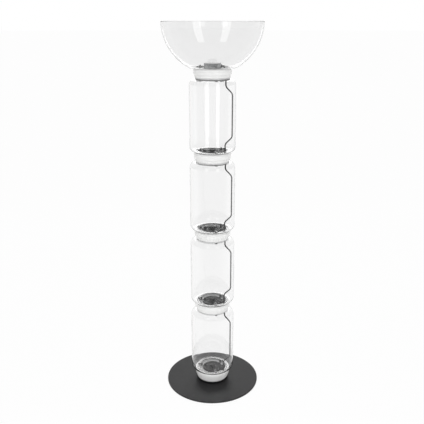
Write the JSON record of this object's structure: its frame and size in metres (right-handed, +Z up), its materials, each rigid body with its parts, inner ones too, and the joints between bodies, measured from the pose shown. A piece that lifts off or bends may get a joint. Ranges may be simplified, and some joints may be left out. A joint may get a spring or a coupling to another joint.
{
  "type": "bubble tube floor lamp",
  "caption": "Floor lamp: stacked clear glass tubes joined by opal light rings, with an upward light in an open glass bowl, on a round steel base plate.",
  "frame": {"origin": "centre of the underside, on the floor", "axes": "+Z up along the lamp's axis; the mains inlet at the rear faces +Y; the front, seen in the picture, faces -Y"},
  "size_m": [0.546, 0.546, 2.093],
  "materials": {
    "powder_coat_charcoal": "fine-textured charcoal powder coat on steel plate",
    "powder_coat_black": "satin black powder coat on cast aluminium",
    "cast_aluminium": "bead-blasted casting, clear lacquered",
    "clamp_steel": "turned and satin nickel plated",
    "zinc_steel": "bright zinc plated",
    "die_cast_grey": "satin grey paint on die-cast aluminium",
    "clear_glass": "blown clear soda-lime glass, fire polished",
    "opal_acrylic": "satin opal acrylic",
    "frosted_polycarbonate": "frosted moulded polycarbonate",
    "core_housing_black": "fine-grained moulded housing",
    "nylon_black": "moulded, slight sheen",
    "lead_sheath": "smooth round sheath",
    "rubber_black": "moulded rubber",
    "gasket_grey": "moulded grey silicone",
    "potting_resin": "cast resin",
    "circuit_board": "white solder mask"
  },
  "bodies": {
    "lamp": {"base_feet": "rubber_black", "base_hub": "powder_coat_black", "base_plate": "powder_coat_charcoal", "base_screws": "zinc_steel", "bowl_shade": "clear_glass", "cord_inlet": "nylon_black", "core_screws": "zinc_steel", "glass_tube_1": "clear_glass", "glass_tube_2": "clear_glass", "glass_tube_3": "clear_glass", "glass_tube_4": "clear_glass", "lead_1": "lead_sheath", "lead_2": "lead_sheath", "lead_3": "lead_sheath", "lead_4": "lead_sheath", "lead_fittings": "nylon_black", "ring_1_core": "core_housing_black", "ring_1_diffuser": "opal_acrylic", "ring_1_frame": "cast_aluminium", "ring_1_gaskets": "gasket_grey", "ring_1_led_strip": "circuit_board", "ring_2_core": "core_housing_black", "ring_2_diffuser": "opal_acrylic", "ring_2_frame": "cast_aluminium", "ring_2_gaskets": "gasket_grey", "ring_2_led_strip": "circuit_board", "ring_3_core": "core_housing_black", "ring_3_diffuser": "opal_acrylic", "ring_3_frame": "cast_aluminium", "ring_3_gaskets": "gasket_grey", "ring_3_led_strip": "circuit_board", "ring_4_core": "core_housing_black", "ring_4_diffuser": "opal_acrylic", "ring_4_frame": "cast_aluminium", "ring_4_gaskets": "gasket_grey", "ring_4_led_strip": "circuit_board", "ring_5_core": "core_housing_black", "ring_5_diffuser": "opal_acrylic", "ring_5_frame": "cast_aluminium", "ring_5_gaskets": "gasket_grey", "ring_5_led_strip": "circuit_board", "ring_drivers": "potting_resin", "uplight_board": "circuit_board", "uplight_housing": "die_cast_grey", "uplight_lens": "frosted_polycarbonate"},
    "ring_1_clamp_back": {"ring_1_clamp_back": "clamp_steel"},
    "ring_1_clamp_front": {"ring_1_clamp_front": "clamp_steel"},
    "ring_1_clamp_left": {"ring_1_clamp_left": "clamp_steel"},
    "ring_2_clamp_back": {"ring_2_clamp_back": "clamp_steel"},
    "ring_2_clamp_front": {"ring_2_clamp_front": "clamp_steel"},
    "ring_2_clamp_left": {"ring_2_clamp_left": "clamp_steel"},
    "ring_3_clamp_back": {"ring_3_clamp_back": "clamp_steel"},
    "ring_3_clamp_front": {"ring_3_clamp_front": "clamp_steel"},
    "ring_3_clamp_left": {"ring_3_clamp_left": "clamp_steel"},
    "ring_4_clamp_back": {"ring_4_clamp_back": "clamp_steel"},
    "ring_4_clamp_front": {"ring_4_clamp_front": "clamp_steel"},
    "ring_4_clamp_left": {"ring_4_clamp_left": "clamp_steel"},
    "ring_5_clamp_back": {"ring_5_clamp_back": "clamp_steel"},
    "ring_5_clamp_front": {"ring_5_clamp_front": "clamp_steel"},
    "ring_5_clamp_left": {"ring_5_clamp_left": "clamp_steel"}
  },
  "joints": [
    {"name": "ring_1_clamp_back_release", "type": "hinge", "parent": "lamp", "child": "ring_1_clamp_back", "pos_m": [0.04808, 0.04808, 1.859], "axis": [0, 0, 1], "range_deg": [0, 90]},
    {"name": "ring_1_clamp_front_release", "type": "hinge", "parent": "lamp", "child": "ring_1_clamp_front", "pos_m": [0.0176, -0.06568, 1.859], "axis": [0, 0, 1], "range_deg": [0, 90]},
    {"name": "ring_1_clamp_left_release", "type": "hinge", "parent": "lamp", "child": "ring_1_clamp_left", "pos_m": [-0.06568, 0.0176, 1.859], "axis": [0, 0, 1], "range_deg": [0, 90]},
    {"name": "ring_2_clamp_back_release", "type": "hinge", "parent": "lamp", "child": "ring_2_clamp_back", "pos_m": [0.04808, 0.04808, 1.414], "axis": [0, 0, 1], "range_deg": [0, 90]},
    {"name": "ring_2_clamp_front_release", "type": "hinge", "parent": "lamp", "child": "ring_2_clamp_front", "pos_m": [0.0176, -0.06568, 1.414], "axis": [0, 0, 1], "range_deg": [0, 90]},
    {"name": "ring_2_clamp_left_release", "type": "hinge", "parent": "lamp", "child": "ring_2_clamp_left", "pos_m": [-0.06568, 0.0176, 1.414], "axis": [0, 0, 1], "range_deg": [0, 90]},
    {"name": "ring_3_clamp_back_release", "type": "hinge", "parent": "lamp", "child": "ring_3_clamp_back", "pos_m": [0.04808, 0.04808, 0.969], "axis": [0, 0, 1], "range_deg": [0, 90]},
    {"name": "ring_3_clamp_front_release", "type": "hinge", "parent": "lamp", "child": "ring_3_clamp_front", "pos_m": [0.0176, -0.06568, 0.969], "axis": [0, 0, 1], "range_deg": [0, 90]},
    {"name": "ring_3_clamp_left_release", "type": "hinge", "parent": "lamp", "child": "ring_3_clamp_left", "pos_m": [-0.06568, 0.0176, 0.969], "axis": [0, 0, 1], "range_deg": [0, 90]},
    {"name": "ring_4_clamp_back_release", "type": "hinge", "parent": "lamp", "child": "ring_4_clamp_back", "pos_m": [0.04808, 0.04808, 0.524], "axis": [0, 0, 1], "range_deg": [0, 90]},
    {"name": "ring_4_clamp_front_release", "type": "hinge", "parent": "lamp", "child": "ring_4_clamp_front", "pos_m": [0.0176, -0.06568, 0.524], "axis": [0, 0, 1], "range_deg": [0, 90]},
    {"name": "ring_4_clamp_left_release", "type": "hinge", "parent": "lamp", "child": "ring_4_clamp_left", "pos_m": [-0.06568, 0.0176, 0.524], "axis": [0, 0, 1], "range_deg": [0, 90]},
    {"name": "ring_5_clamp_back_release", "type": "hinge", "parent": "lamp", "child": "ring_5_clamp_back", "pos_m": [0.04808, 0.04808, 0.079], "axis": [0, 0, 1], "range_deg": [0, 90]},
    {"name": "ring_5_clamp_front_release", "type": "hinge", "parent": "lamp", "child": "ring_5_clamp_front", "pos_m": [0.0176, -0.06568, 0.079], "axis": [0, 0, 1], "range_deg": [0, 90]},
    {"name": "ring_5_clamp_left_release", "type": "hinge", "parent": "lamp", "child": "ring_5_clamp_left", "pos_m": [-0.06568, 0.0176, 0.079], "axis": [0, 0, 1], "range_deg": [0, 90]}
  ]
}
